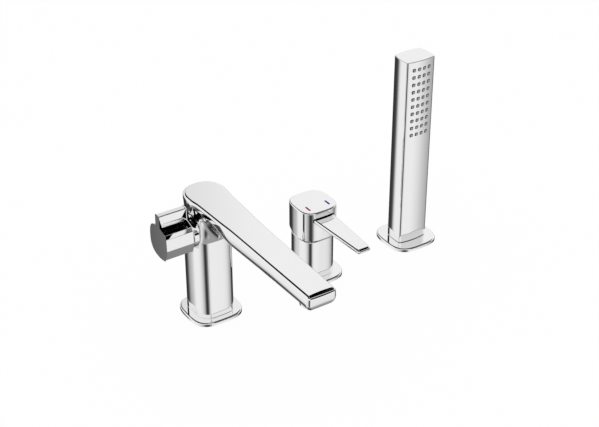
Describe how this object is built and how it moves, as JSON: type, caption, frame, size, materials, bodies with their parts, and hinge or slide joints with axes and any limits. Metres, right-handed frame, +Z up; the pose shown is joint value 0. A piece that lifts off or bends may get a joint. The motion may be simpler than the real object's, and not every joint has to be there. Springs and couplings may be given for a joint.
{
  "type": "deck-mounted bath mixer set",
  "caption": "Deck bath mixer set: spout with diverter knob, single-lever mixer and pull-out stick hand shower, each on a square plate with a clamped shank.",
  "frame": {"origin": "centre of the mixer's deck hole, on the deck's top face, under the middle cover plate", "axes": "+X along the row from the spout to the hand shower, -Y towards the bath along the spout, +Z up from the deck"},
  "size_m": [0.3518, 0.245, 0.289],
  "materials": {
    "chrome": "polished chrome plate",
    "brass": "machined",
    "steel": "zinc-plated steel",
    "rubber": "matt black rubber",
    "grey_silicone": "grey silicone",
    "white_plastic": "moulded white plastic",
    "blue_plastic": "moulded blue plastic",
    "ceramic": "polished ceramic, given as gloss plastic",
    "red_enamel": "red enamel",
    "blue_enamel": "blue enamel"
  },
  "bodies": {
    "deck_set": {"spout_escutcheon": "chrome", "spout_gasket": "rubber", "spout_body": "chrome", "spout_shank": "brass", "spout_clamp_gasket": "rubber", "spout_clamp_washer": "steel", "spout_lock_nut": "brass", "aerator_housing": "chrome", "aerator_insert": "white_plastic", "aerator_seal": "rubber", "diverter_collar": "chrome", "diverter_headwork": "brass", "diverter_seal": "rubber", "diverter_fixed_disc": "ceramic", "spindle_oring": "rubber", "mixer_escutcheon": "chrome", "mixer_gasket": "rubber", "mixer_body": "chrome", "mixer_shank": "brass", "mixer_clamp_gasket": "rubber", "mixer_clamp_washer": "steel", "mixer_lock_nut": "brass", "cartridge_seal": "rubber", "cartridge_base": "white_plastic", "cartridge_fixed_disc": "ceramic", "cartridge_housing": "white_plastic", "cartridge_nut": "brass", "dome_ring": "chrome", "shower_escutcheon": "chrome", "shower_gasket": "rubber", "holder_guide": "brass", "holder_liner": "white_plastic", "shower_clamp_gasket": "rubber", "shower_clamp_washer": "steel", "shower_lock_nut": "brass"},
    "diverter": {"diverter_knob": "chrome", "knob_screw": "steel", "diverter_spindle": "brass", "diverter_moving_disc": "ceramic"},
    "carrier": {"cartridge_carrier": "blue_plastic", "cartridge_pivot_pin": "steel"},
    "lever": {"cartridge_stem": "steel", "lever_cap": "chrome", "lever_blade": "chrome", "blade_screw": "steel", "lever_grub_screw": "steel", "hot_mark": "red_enamel", "cold_mark": "blue_enamel"},
    "moving_disc": {"cartridge_moving_disc": "ceramic", "cartridge_disc_driver": "blue_plastic"},
    "handset": {"handset_shell": "chrome", "nozzle_pad": "grey_silicone", "handset_waterway": "white_plastic", "hose_connector": "brass", "connector_seal": "rubber", "check_valve": "blue_plastic"}
  },
  "joints": [
    {"name": "diverter_turn", "type": "hinge", "parent": "deck_set", "child": "diverter", "pos_m": [-0.132, 0, 0.107], "axis": [1, 0, 0], "range_deg": [0, 90]},
    {"name": "mixer_turn", "type": "hinge", "parent": "deck_set", "child": "carrier", "pos_m": [0, 0, 0.05], "axis": [0, 0, 1], "range_deg": [-45, 45]},
    {"name": "mixer_lift", "type": "hinge", "parent": "carrier", "child": "lever", "pos_m": [0, 0, 0.05], "axis": [-1, 0, 0], "range_deg": [0, 20]},
    {"name": "disc_slide", "type": "slide", "parent": "carrier", "child": "moving_disc", "axis": [0, -1, 0], "range_m": [0, 0.0038]},
    {"name": "handset_lift", "type": "slide", "parent": "deck_set", "child": "handset", "axis": [0, 0, 1], "range_m": [0, 0.25]}
  ],
  "couplings": [
    {"joint": "disc_slide", "follows": "mixer_lift", "m_per_rad": 0.01071}
  ]
}
